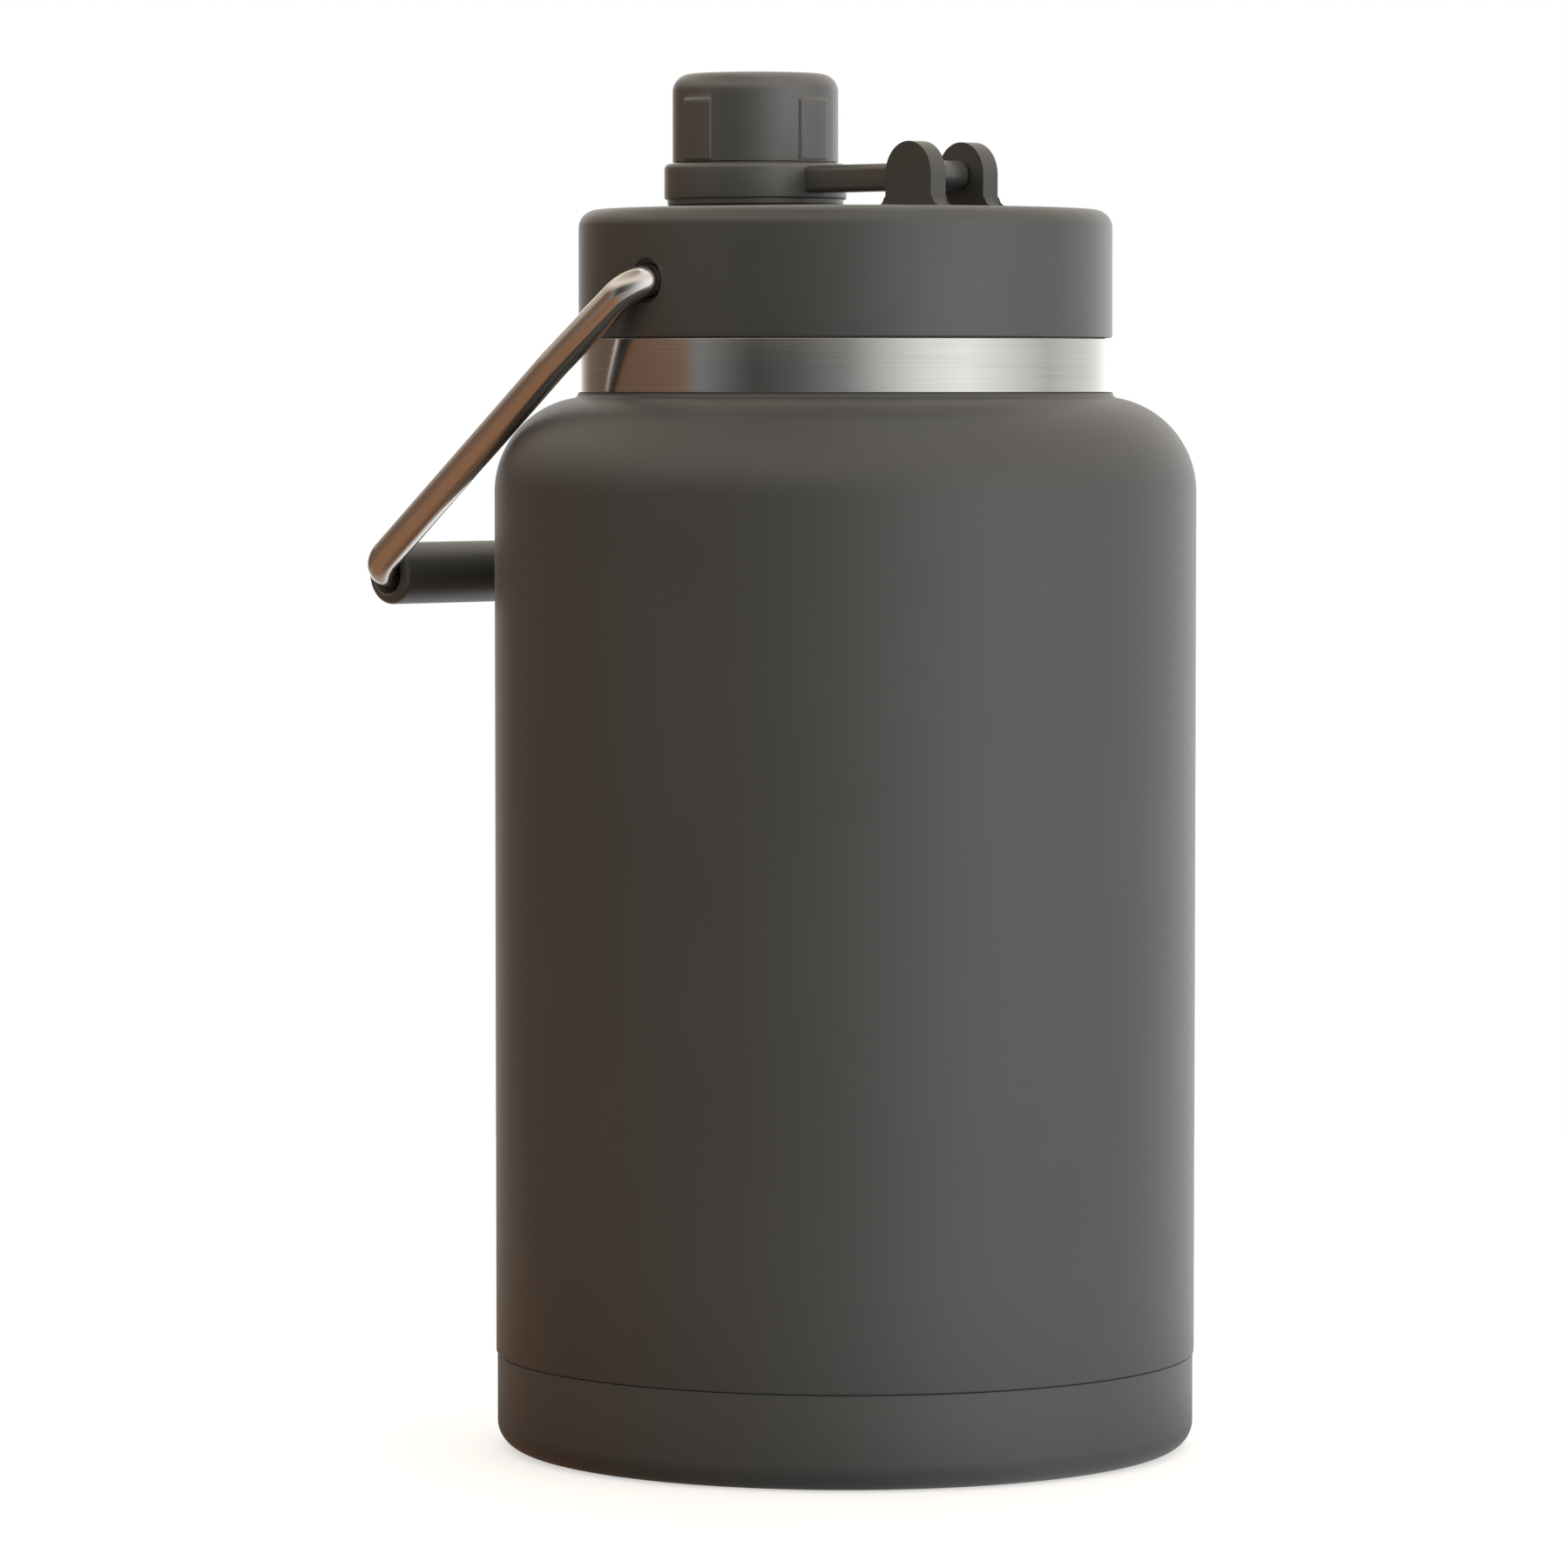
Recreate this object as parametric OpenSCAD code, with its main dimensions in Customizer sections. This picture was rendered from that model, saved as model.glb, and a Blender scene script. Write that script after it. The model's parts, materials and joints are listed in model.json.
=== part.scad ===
// Half-gallon insulated growler: a double-wall steel vessel with a screw lid,
// a bail handle on the lid, and a pour spout whose cap is held by a hinged strap.
// Millimetres, +Z up. Origin: on the vessel's axis, in the plane it stands on.
// The spout is on the -X side of the lid and the strap's hinge on the +X side.
// The bail turns about a line along Y and hangs on the -X side.

/* [Vessel] */
// Outer radius of the vessel
body_r = 67; // [66:0.5:70]
// Height of the seam between the outer shell and the base cup
seam_z = 18.2; // [16:0.1:19]
// Height where the straight side ends and the shoulder starts
shoulder_z = 182.8; // [182:0.1:184]
// Radius of the rounded shoulder
shoulder_round = 18.2; // [18:0.1:18.4]
// Outer radius of the bare steel neck band
band_r = 51; // [50.9:0.1:51.1]
// Height of the vessel's rim
rim_z = 211.9; // [211.6:0.1:211.9]
// Thickness of the steel walls
wall = 0.8; // [0.6:0.1:0.9]
// Width of the vacuum gap between the two side walls
vacuum_gap = 5.2; // [5:0.1:6]

/* [Lid] */
// Outer radius of the lid
lid_r = 50.9; // [50.9:0.1:51.1]
// Height of the lid's lower edge
lid_z = 212.2; // [212.2:0.1:212.4]
// Height of the lid's flat top
lid_top = 236.5; // [236.4:0.1:236.5]
// Radius of the lid's rounded upper edge
lid_round = 3.5; // [1:0.5:4]
// Thickness of the lid's wall
lid_wall = 2.4; // [2:0.1:2.4]
// Outer radius of the plug that screws into the neck
plug_r = 45.6; // [45.4:0.1:45.6]
// Height of the plug's lower face
plug_z = 190; // [189:0.5:191]
// Lead of the thread between the plug and the neck
thread_lead = 8; // [8:0.5:9]

/* [Spout and cap] */
// Distance from the vessel's axis to the spout's axis
spout_x = 25.5; // [25.5:0.1:26.5]
// Radius of the pouring bore
spout_bore_r = 9.6; // [8:0.1:9.8]
// Height of the spout's lip
spout_top = 253; // [250:0.5:253]
// Outer radius of the cap
cap_r = 16; // [15.8:0.1:16.2]
// Height of the cap's flat top
cap_top = 263.1; // [262:0.1:265]
// Angle that each raised grip pad of the cap spans
pad_angle = 26; // [20:1:40]
// Number of grip pads round the cap
pad_count = 4; // [2:1:6]

/* [Strap] */
// Distance from the vessel's axis to the strap's hinge pin
hinge_x = 26.5; // [26:0.1:28]
// Height of the hinge pin's axis
hinge_z = 242.7; // [242.5:0.1:242.9]
// Outer radius of the ring round the cap
ring_r = 17.6; // [17.2:0.1:18]

/* [Bail] */
// Height of the line that the bail turns about
bail_z = 222.7; // [222:0.1:223]
// Diameter of the bail's wire
wire_d = 6; // [5:0.5:6]
// Distance from the turning line to the middle of the grip
bail_reach = 94; // [93:0.5:98]
// Half the distance between the bail's two straight arms
bail_half = 55.5; // [55.4:0.1:57]
// Angle between the hanging bail and straight down
rest_angle = 53.4; // [53.4:0.1:58]
// Diameter of the grip
grip_d = 12; // [10:0.5:14]

/* [Hidden] */
$fn = 96;

charcoal = [0.22, 0.21, 0.20];
soft_charcoal = [0.17, 0.16, 0.16];
bare_steel = [0.72, 0.72, 0.71];
silicone = [0.55, 0.55, 0.54];
brass = [0.80, 0.66, 0.35];
foam_white = [0.90, 0.89, 0.84];
// How far a cutting shape reaches past the solid that it cuts
over = 1;

// Vessel
cup_step = 0.25;
cup_r = body_r - cup_step;
cup_round = 5;
joggle_h = 4;
stand_inner_r = 54;
recess_z = 2;
recess_r = 50;
seal_hole_r = 2;
cover_r = 24;
cover_t = 0.5;
seal_bead_h = 0.9;
getter_x = 25;
getter_r = 6;
getter_h = 2;
shoulder_x = body_r - shoulder_round;
collar_round = 1;
collar_z = shoulder_z + sqrt(pow(shoulder_round + collar_round, 2)
                             - pow(band_r + collar_round - shoulder_x, 2));
collar_angle = atan2(collar_z - shoulder_z, band_r + collar_round - shoulder_x);
liner_r = body_r - wall - vacuum_gap;
shoulder_gap = 6.8;
liner_shoulder_z = shoulder_z - shoulder_gap;
liner_round = liner_r - shoulder_x;
neck_r = 48;
neck_round = shoulder_x - neck_r;
liner_base_z = 11.5;
liner_floor_z = 6;
liner_base_round = 5;
neck_thread_r = 46;

// Lid
skirt_wall = 1;
skirt_h = 1.9;
gasket_r = 49.6;
gasket_inner_r = 46.9;
gasket_h = 2.1;
collar_r = 46.7;
plug_collar_z = 209.5;
plug_wall = 2;
flange_t = 1.2;
plug_flange_r = 48.4;
plug_thread_r = 46.8;
thread_w = 2.2;
thread_root = 0.3;
plug_thread_z = 194;
thread_turns = 1.25;
roof_z = lid_top - lid_wall;
bush_r = 6;
bush_inner_y = 42.6;
bush_wall = 1;
bush_outer_y = 48.1;
bush_bend_y = 49.2;
bush_nose_y = 50.2;
bush_nose_r = 4;
bush_mouth_r = 3.75;
bush_hole_r = 4.1;
boss_wall = 1.2;
boss_sink = 0.6;
running_gap = 0.06;
foam_r = 42.4;
foam_gap = 0.3;

// Spout
spout_r = 11.6;
spout_thread_r = 12.7;
spout_thread_w = 1.6;
spout_thread_z = 241;
spout_lead = 3.5;
spout_turns = 2;
spout_flange_r = 16.6;
spout_flange_t = 0.9;
seal_ring_r = 13.2;
seal_wire_r = 0.85;
seal_groove_d = 1.85;
seal_groove_w = 2.2;

// Hinge
ear_r = 6.2;
ear_t = 3.8;
ear_gap = 9.8;
ear_flare = 2.1;
ear_sink = 1;
pin_r = 1.5;
pin_bore_r = pin_r + running_gap;
pin_y0 = -6.8;
pin_y1 = 8.5;

// Strap
strap_arm_h = 5.2;
strap_arm_drop = 0.2;
strap_arm_w = 6;
ring_z0 = 238.9;
ring_z1 = 245.8;
ring_inner_r = 15.3;
ring_foot_z = 237.7;
ring_foot_r = 17;
ring_foot_inner_r = 16.2;
barrel_half = 4.65;
barrel_r = 2.7;
strap_round = 1.2;
ring_round = 1.1;
ring_foot_round = 0.4;
ring_bite = 1;

// Cap
cap_gap = 0.3;
cap_neck_r = 14.9;
cap_bead_r = 15.9;
cap_bead_z0 = 237.7;
cap_bead_z1 = 238.6;
cap_wall = 0.9;
cap_liner_r = cap_neck_r - cap_wall;
cap_liner_inner_r = 13.3;
cap_thread_r = 12.9;
cap_thread_w = 1.4;
cap_round = 3.5;
cap_roof_t = 2.2;
pad_height = 0.4;
pad_root = 0.6;
pad_rise = 0.3;
pad_turn = 2.5;
pad_top = 258;
cap_seal_t = 1.8;
cap_seal_gap = 0.3;
cap_seal_inner_r = 8;
cap_liner_rise = 0.4;

// Bail
wire_r = wire_d / 2;
bail_end_y = 44;
ball_proud = 0.03;
bail_elbow = 5;
flare_angle = 3.3;
bail_flare_z = -26;
elbow_y = bail_half - bail_elbow * cos(flare_angle)
          + (bail_flare_z + bail_elbow * (1 - sin(flare_angle))) * tan(flare_angle);
bail_corner = 7;
grip_half = 51.3;
grip_mouth_r = 4.1;
grip_round = 1.5;

// Points of an arc in the plane, from angle a0 to a1 in n steps
function arc(cx, cy, r, a0, a1, n = 14) =
    [for (i = [0:n]) [cx + r * cos(a0 + (a1 - a0) * i / n), cy + r * sin(a0 + (a1 - a0) * i / n)]];

function reversed(list) = [for (i = [len(list) - 1:-1:0]) list[i]];

// Height of a thread ridge, as a share of its full height, at step i of n
function taper(i, n) = max(0.08, min(1, min(i, n - i) / 4));

// A solid of revolution about Z from the points of its half section
module turned(points) {
    rotate_extrude() polygon(points);
}

// A tube about Z
module tube(r1, r0, z0, z1) {
    translate([0, 0, z0]) difference() {
        cylinder(r = r1, h = z1 - z0);
        translate([0, 0, -over]) cylinder(r = r0, h = z1 - z0 + 2 * over);
    }
}

// A cylinder along Y from y0 to y1, on the axis through x and z
module rod_y(r, y0, y1, x = 0, z = 0) {
    translate([x, y1, z]) rotate([90, 0, 0]) cylinder(r = r, h = y1 - y0);
}

// A right-hand thread ridge that rises from root to crest, outwards or inwards
module thread_ridge(root, crest, width, lead, turns, z0) {
    n = round(32 * turns);
    points = [for (i = [0:n]) let (a = 360 * turns * i / n,
                                   r = root + (crest - root) * taper(i, n),
                                   z = z0 + lead * turns * i / n,
                                   w = width / 2)
              each [[root * cos(a), root * sin(a), z - w],
                    [r * cos(a), r * sin(a), z - w / 2],
                    [r * cos(a), r * sin(a), z + w / 2],
                    [root * cos(a), root * sin(a), z + w]]];
    sides = [for (i = [0:n - 1]) for (k = [0:3])
             [4 * i + k, 4 * i + (k + 1) % 4, 4 * i + 4 + (k + 1) % 4, 4 * i + 4 + k]];
    ends = [[3, 2, 1, 0], [4 * n, 4 * n + 1, 4 * n + 2, 4 * n + 3]];
    faces = concat(sides, ends);
    polyhedron(points, crest > root ? faces : [for (f = faces) reversed(f)]);
}

// Vessel ------------------------------------------------------------------

// Painted steel side and shoulder of the vessel
module outer_shell() {
    color(charcoal) turned(concat(
        [[body_r - wall, seam_z], [body_r, seam_z]],
        arc(shoulder_x, shoulder_z, shoulder_round, 0, collar_angle, 20),
        arc(band_r + collar_round, collar_z, collar_round, 180 + collar_angle, 180, 6),
        reversed(arc(band_r + collar_round, collar_z, collar_round + wall, 180 + collar_angle, 180, 6)),
        reversed(arc(shoulder_x, shoulder_z, shoulder_round - wall, 0, collar_angle, 20))));
}

// Bare steel collar between the shoulder and the rim
module neck_band() {
    edge = 0.3;
    color(bare_steel) turned([[band_r - wall, collar_z], [band_r, collar_z],
                              [band_r, rim_z - edge], [band_r - edge, rim_z],
                              [band_r - wall, rim_z]]);
}

// Painted cup that closes the vessel from below and stands on the table
module base_cup() {
    in_r = cup_r - wall;
    color(charcoal) difference() {
        turned(concat(
            [[0, recess_z], [recess_r, recess_z], [stand_inner_r, 0]],
            arc(cup_r - cup_round, cup_round, cup_round, -90, 0),
            [[cup_r, seam_z - 2 * cup_step], [body_r - wall, seam_z],
             [body_r - wall, seam_z + joggle_h], [body_r - 2 * wall, seam_z + joggle_h],
             [body_r - 2 * wall, seam_z], [in_r, seam_z - 4 * cup_step]],
            reversed(arc(cup_r - cup_round, cup_round, cup_round - wall, -90, 0)),
            [[stand_inner_r + wall / 4, wall], [recess_r + wall / 4, recess_z + wall],
             [0, recess_z + wall]]));
        translate([0, 0, -over]) cylinder(r = seal_hole_r, h = 2 * (recess_z + over));
    }
}

// Thin disc that hides the sealed evacuation hole
module base_cover() {
    color(charcoal) translate([0, 0, recess_z - cover_t]) cylinder(r = cover_r, h = cover_t);
}

// Steel liner with its shoulder, threaded neck and welded rim
module inner_liner() {
    color(bare_steel) union() {
        turned(concat(
            [[liner_r - wall, liner_base_z], [liner_r, liner_base_z]],
            arc(shoulder_x, liner_shoulder_z, liner_round, 0, 90, 16),
            arc(shoulder_x, liner_shoulder_z + liner_round + neck_round, neck_round, 270, 180, 5),
            [[neck_r, rim_z - wall], [band_r - wall, rim_z - wall], [band_r - wall, rim_z],
             [neck_r - wall, rim_z]],
            arc(shoulder_x, liner_shoulder_z + liner_round + neck_round, neck_round + wall, 180, 270, 5),
            arc(shoulder_x, liner_shoulder_z, liner_round - wall, 90, 0, 16)));
        thread_ridge(neck_r - wall / 2, neck_thread_r, thread_w, thread_lead, thread_turns,
                     plug_thread_z + thread_lead / 2);
    }
}

// Dished floor welded to the liner
module inner_base() {
    corner_x = liner_r - liner_base_round;
    corner_z = liner_floor_z + liner_base_round;
    color(bare_steel) turned(concat(
        [[0, liner_floor_z]],
        arc(corner_x, corner_z, liner_base_round, -90, 0),
        [[liner_r, liner_base_z], [liner_r - wall, liner_base_z]],
        reversed(arc(corner_x, corner_z, liner_base_round - wall, -90, 0)),
        [[0, liner_floor_z + wall]]));
}

// Pellet that keeps the vacuum, fixed on the base cup's inner face
module getter() {
    color(brass) translate([getter_x, 0, recess_z + wall]) cylinder(r = getter_r, h = getter_h);
}

// Bead that plugs the evacuation hole
module vacuum_seal() {
    color(brass) translate([0, 0, recess_z]) {
        cylinder(r = seal_hole_r, h = wall);
        translate([0, 0, wall]) cylinder(r1 = seal_hole_r + 1, r2 = seal_hole_r, h = seal_bead_h);
    }
}

// Lid ---------------------------------------------------------------------

// Silicone ring that the lid presses on the vessel's rim
module lid_gasket() {
    color(silicone) tube(gasket_r, gasket_inner_r, rim_z, rim_z + gasket_h);
}

// Outline of one hinge ear, seen along the pin
module ear_outline() {
    union() {
        circle(r = ear_r);
        translate([-ear_r, lid_top - hinge_z - ear_sink])
            square([2 * ear_r, hinge_z - lid_top + ear_sink]);
        for (side = [-1, 1]) difference() {
            translate([side * (ear_r + (ear_flare - ear_sink) / 2),
                       lid_top - hinge_z + (ear_flare - ear_sink) / 2])
                square(ear_flare + ear_sink, center = true);
            translate([side * (ear_r + ear_flare), lid_top - hinge_z + ear_flare])
                circle(r = ear_flare);
        }
    }
}

// The two ears that carry the strap's hinge pin
module ears() {
    for (y = [-ear_gap / 2 - ear_t, ear_gap / 2])
        translate([hinge_x, y + ear_t, hinge_z]) rotate([90, 0, 0])
            linear_extrude(ear_t) ear_outline();
}

// Moulded lid with its hinge ears, its seats for the bail and its hole for the spout
module lid_shell() {
    inner_r = lid_r - lid_wall;
    skirt_z = lid_z + skirt_h;
    color(soft_charcoal) difference() {
        union() {
            turned(concat(
                [[lid_r - skirt_wall, lid_z], [lid_r, lid_z]],
                arc(lid_r - lid_round, lid_top - lid_round, lid_round, 0, 90, 10),
                [[0, lid_top], [0, roof_z], [inner_r, roof_z], [inner_r, skirt_z],
                 [lid_r - skirt_wall, skirt_z]]));
            ears();
            for (side = [0, 180]) rotate([0, 0, side]) difference() {
                rod_y(bush_r + boss_wall, bush_inner_y + over, inner_r + boss_sink, 0, bail_z);
                rod_y(bush_r, bush_inner_y, inner_r + boss_sink + over, 0, bail_z);
            }
        }
        for (side = [0, 180]) rotate([0, 0, side])
            rod_y(bush_hole_r, bush_outer_y, lid_r + over, 0, bail_z);
        translate([-spout_x, 0, roof_z - over]) cylinder(r = spout_r, h = lid_wall + 2 * over);
        translate([-spout_x, 0, lid_top]) mirror([0, 0, 1])
            tube(seal_ring_r + seal_groove_w / 2, seal_ring_r - seal_groove_w / 2, -over, seal_groove_d);
        rod_y(pin_r, pin_y0, ear_gap / 2 + ear_t + over, hinge_x, hinge_z);
    }
}

// Hollow plug that closes the lid from below and screws into the neck
module lid_plug() {
    edge = 2;
    flange_z = lid_z + skirt_h;
    color(soft_charcoal) difference() {
        union() {
            turned(concat(
                [[0, plug_z]],
                arc(plug_r - edge, plug_z + edge, edge, -90, 0, 5),
                [[plug_r, plug_collar_z - 1], [collar_r, plug_collar_z], [collar_r, flange_z],
                 [plug_flange_r, flange_z], [plug_flange_r, flange_z + flange_t],
                 [plug_r - plug_wall, flange_z + flange_t], [plug_r - plug_wall, plug_z + plug_wall],
                 [0, plug_z + plug_wall]]));
            thread_ridge(plug_r - thread_root, plug_thread_r, thread_w, thread_lead, thread_turns,
                         plug_thread_z);
        }
        translate([-spout_x, 0, plug_z - over]) cylinder(r = spout_r, h = plug_wall + 2 * over);
    }
}

// Insulating foam that fills the lid and the plug
module lid_foam() {
    color(foam_white) difference() {
        translate([0, 0, plug_z + plug_wall]) cylinder(r = foam_r, h = roof_z - plug_z - plug_wall);
        translate([-spout_x, 0, plug_z]) cylinder(r = spout_r + foam_gap, h = roof_z);
    }
}

// Threaded pouring tube that runs down through the lid and the plug
module spout() {
    lip = 0.8;
    color(soft_charcoal) translate([-spout_x, 0, 0]) union() {
        turned([[spout_bore_r, plug_z], [spout_r, plug_z], [spout_r, lid_top],
                [spout_flange_r, lid_top], [spout_flange_r, lid_top + spout_flange_t],
                [spout_r, lid_top + spout_flange_t], [spout_r, spout_top - lip],
                [spout_r - lip, spout_top], [spout_bore_r, spout_top]]);
        thread_ridge(spout_r - thread_root, spout_thread_r, spout_thread_w, spout_lead, spout_turns,
                     spout_thread_z);
    }
}

// O-ring under the spout's flange
module spout_seal() {
    color(silicone) translate([-spout_x, 0, lid_top - seal_groove_d / 2]) rotate_extrude()
        translate([seal_ring_r, 0]) circle(r = seal_wire_r, $fn = 32);
}

// Bush in the lid's wall that one end of the bail turns in, with a closed inner end
// and a mouth that widens where the wire starts to bend
module pivot_bush() {
    color(bare_steel) difference() {
        union() {
            rod_y(bush_r, bush_inner_y, bush_outer_y, 0, bail_z);
            rod_y(bush_nose_r, bush_outer_y - over, bush_nose_y, 0, bail_z);
        }
        rod_y(wire_r + running_gap, bush_inner_y + bush_wall, bush_nose_y + over, 0, bail_z);
        translate([0, bush_bend_y, bail_z]) rotate([-90, 0, 0])
            cylinder(r1 = wire_r + running_gap, r2 = bush_mouth_r, h = bush_nose_y - bush_bend_y);
    }
}

module pivot_bush_left() {
    rotate([0, 0, 180]) pivot_bush();
}

module pivot_bush_right() {
    pivot_bush();
}

// Steel pin through the ears and the strap
module hinge_pin() {
    color(bare_steel) rod_y(pin_r, pin_y0, pin_y1, hinge_x, hinge_z);
}

// Bail --------------------------------------------------------------------

// Moves a shape from the bail's own frame, hanging straight down, to where it rests
module at_rest() {
    translate([0, 0, bail_z]) rotate([0, rest_angle, 0]) children();
}

// A straight length of wire between two points of the bail's plane, given as [y, z]
module wire(p, q) {
    d = q - p;
    translate([0, p[0], p[1]]) rotate([atan2(d[1], d[0]) - 90, 0, 0])
        cylinder(r = wire_r, h = norm(d));
}

// A run of wire through several points of the bail's plane, with a ball at each bend
module wire_run(route) {
    for (i = [0:len(route) - 2]) wire(route[i], route[i + 1]);
    for (i = [1:len(route) - 2]) translate([0, route[i][0], route[i][1]])
        sphere(r = wire_r + ball_proud);
}

// Steel wire bail with its two ends turned inwards
module bail() {
    elbow = arc(elbow_y, -bail_elbow, bail_elbow, 90, flare_angle, 3);
    corner = arc(bail_half - bail_corner, bail_corner - bail_reach, bail_corner, 0, -90, 4);
    right = concat([[bail_end_y, 0]], elbow, [[bail_half, bail_flare_z]], corner);
    left = [for (p = reversed(right)) [-p[0], p[1]]];
    color(bare_steel) at_rest() wire_run(concat(right, left));
}

// Moulded sleeve on the straight middle of the bail, with mouths that widen for its bends
module grip() {
    r = grip_d / 2;
    straight = bail_half - bail_corner;
    color(soft_charcoal) at_rest() translate([0, 0, -bail_reach]) rotate([90, 0, 0])
        turned(concat([[wire_r, -straight], [grip_mouth_r, -grip_half]],
                      arc(r - grip_round, -grip_half + grip_round, grip_round, -90, 0, 6),
                      arc(r - grip_round, grip_half - grip_round, grip_round, 0, 90, 6),
                      [[grip_mouth_r, grip_half], [wire_r, straight]]));
}

// Strap and cap -------------------------------------------------------------

// Strap with the ring that the cap turns in, a foot on the ring that goes down round the
// cap's bead, and the barrel on the hinge pin
module strap() {
    arm_z = hinge_z - strap_arm_h / 2 - strap_arm_drop;
    side = strap_arm_w / 2 - strap_round;
    top = strap_arm_h - strap_round;
    color(soft_charcoal) difference() {
        union() {
            translate([-spout_x, 0, 0]) turned(concat(
                [[ring_inner_r, ring_z0], [ring_foot_inner_r, ring_z0],
                 [ring_foot_inner_r, ring_foot_z]],
                arc(ring_foot_r - ring_foot_round, ring_foot_z + ring_foot_round, ring_foot_round,
                    -90, 0, 5),
                [[ring_foot_r, ring_z0]],
                arc(ring_r - ring_foot_round, ring_z0 + ring_foot_round, ring_foot_round, -90, 0, 5),
                arc(ring_r - ring_round, ring_z1 - ring_round, ring_round, 0, 90, 5),
                [[ring_inner_r, ring_z1]]));
            translate([-spout_x + ring_inner_r + ring_bite, 0, arm_z]) rotate([90, 0, 90])
                linear_extrude(hinge_x + spout_x - ring_inner_r - ring_bite)
                    polygon(concat(arc(side, strap_round, strap_round, -90, 0, 4),
                                   arc(side, top, strap_round, 0, 90, 4),
                                   arc(-side, top, strap_round, 90, 180, 4),
                                   arc(-side, strap_round, strap_round, 180, 270, 4)));
            rod_y(barrel_r, -barrel_half, barrel_half, hinge_x, hinge_z);
        }
        rod_y(pin_bore_r, -barrel_half - over, barrel_half + over, hinge_x, hinge_z);
        translate([-spout_x, 0, ring_z0 - over])
            cylinder(r = ring_inner_r, h = ring_z1 - ring_z0 + 2 * over);
    }
}

// Moulded cap with raised grip pads, a neck inside the ring and a bead below it
module cap_shell() {
    skirt_z = ring_z1 + cap_gap;
    pad_z = skirt_z + pad_rise;
    color(soft_charcoal) translate([-spout_x, 0, 0]) union() {
        turned(concat(
            [[cap_liner_r, cap_bead_z0], [cap_bead_r, cap_bead_z0], [cap_bead_r, cap_bead_z1],
             [cap_neck_r, cap_bead_z1], [cap_neck_r, skirt_z], [cap_r, skirt_z]],
            arc(cap_r - cap_round, cap_top - cap_round, cap_round, 0, 90, 10),
            [[0, cap_top], [0, cap_top - cap_roof_t], [cap_liner_r, cap_top - cap_roof_t]]));
        for (k = [0:pad_count - 1])
            translate([0, 0, pad_z]) rotate([0, 0, pad_turn + 360 * k / pad_count - pad_angle / 2])
                rotate_extrude(angle = pad_angle) translate([cap_r - pad_root, 0])
                square([pad_root + pad_height, pad_top - pad_z]);
    }
}

// Threaded insert inside the cap
module cap_liner() {
    foot = cap_bead_z0 + cap_liner_rise;
    roof = cap_top - cap_roof_t;
    ceiling = spout_top + cap_seal_gap + cap_seal_t;
    color(soft_charcoal) translate([-spout_x, 0, 0]) union() {
        turned([[cap_liner_inner_r, foot], [cap_liner_r, foot], [cap_liner_r, roof], [0, roof],
                [0, ceiling], [cap_liner_inner_r, ceiling]]);
        thread_ridge(cap_liner_inner_r + thread_root, cap_thread_r, cap_thread_w, spout_lead,
                     spout_turns, spout_thread_z);
    }
}

// Silicone washer that the cap presses on the spout's lip
module cap_seal() {
    z0 = spout_top + cap_seal_gap;
    color(silicone) translate([-spout_x, 0, 0]) tube(cap_thread_r, cap_seal_inner_r, z0, z0 + cap_seal_t);
}

outer_shell();
neck_band();
base_cup();
base_cover();
inner_liner();
inner_base();
getter();
vacuum_seal();
lid_gasket();
lid_shell();
lid_plug();
lid_foam();
spout();
spout_seal();
pivot_bush_left();
pivot_bush_right();
hinge_pin();
bail();
grip();
strap();
cap_shell();
cap_liner();
cap_seal();
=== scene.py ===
"""The looks of the insulated growler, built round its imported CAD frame. Lengths are in metres."""
import json
import math

import bmesh
import bpy
from mathutils import Matrix, Vector


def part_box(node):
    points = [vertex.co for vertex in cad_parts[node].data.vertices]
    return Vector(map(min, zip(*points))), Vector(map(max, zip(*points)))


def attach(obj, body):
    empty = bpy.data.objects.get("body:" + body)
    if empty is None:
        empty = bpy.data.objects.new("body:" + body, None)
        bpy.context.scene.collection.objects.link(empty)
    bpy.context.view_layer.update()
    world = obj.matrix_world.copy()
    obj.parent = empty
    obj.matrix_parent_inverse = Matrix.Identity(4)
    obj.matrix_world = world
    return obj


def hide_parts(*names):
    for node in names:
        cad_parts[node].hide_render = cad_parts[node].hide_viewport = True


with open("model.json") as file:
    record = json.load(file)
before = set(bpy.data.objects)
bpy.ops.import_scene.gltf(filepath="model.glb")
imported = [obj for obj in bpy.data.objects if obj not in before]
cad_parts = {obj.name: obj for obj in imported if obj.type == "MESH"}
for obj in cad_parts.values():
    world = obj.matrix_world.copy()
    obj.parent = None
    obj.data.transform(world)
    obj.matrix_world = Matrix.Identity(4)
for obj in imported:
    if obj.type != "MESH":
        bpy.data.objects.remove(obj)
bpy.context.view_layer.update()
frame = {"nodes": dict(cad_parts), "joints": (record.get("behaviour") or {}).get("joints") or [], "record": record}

MM = 0.001
ROUND = 256          # steps round the large pieces
SMALL_ROUND = 96     # steps round the small pieces
RING_STEPS = 192     # steps round the strap's ring
BARREL_STEPS = 64    # steps round the strap's barrel
SMOOTH_ANGLE = 32    # edges sharper than this many degrees stay crisp
WELD = 1e-7          # points closer than this are one point

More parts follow.
